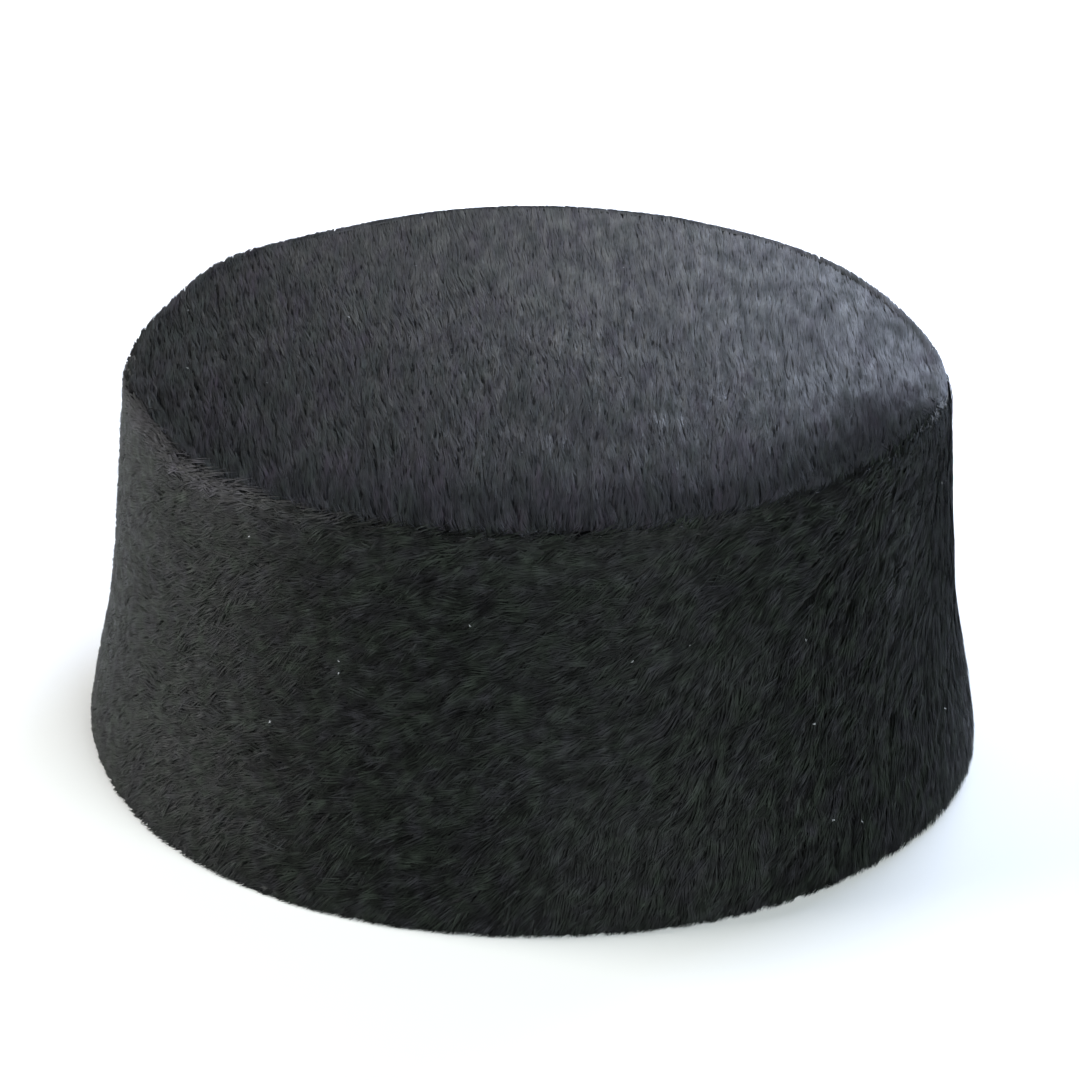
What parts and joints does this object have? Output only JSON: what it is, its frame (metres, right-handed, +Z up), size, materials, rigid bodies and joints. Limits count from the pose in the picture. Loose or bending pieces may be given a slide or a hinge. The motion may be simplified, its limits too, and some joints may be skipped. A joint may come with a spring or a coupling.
{
  "type": "kufi",
  "caption": "Brimless pillbox kufi of short black pile cloth: a flat oval crown set in a side band that is near upright above and flares at the foot, hollow and open below.",
  "frame": {"origin": "middle of the hat's outline, on the surface that its foot rests on", "axes": "+X to the hat's right as the camera sees it, +Y from the front that the picture shows towards the back, +Z up through the crown"},
  "size_m": [0.1826, 0.1946, 0.0822],
  "materials": {
    "band_plush": "short black pile, combed round the band, matt with a faint sheen",
    "crown_plush": "short black pile, lying from front to back, matt with a faint grey sheen"
  },
  "bodies": {
    "root": {"side_band": "band_plush", "crown_top": "crown_plush"}
  },
  "joints": []
}
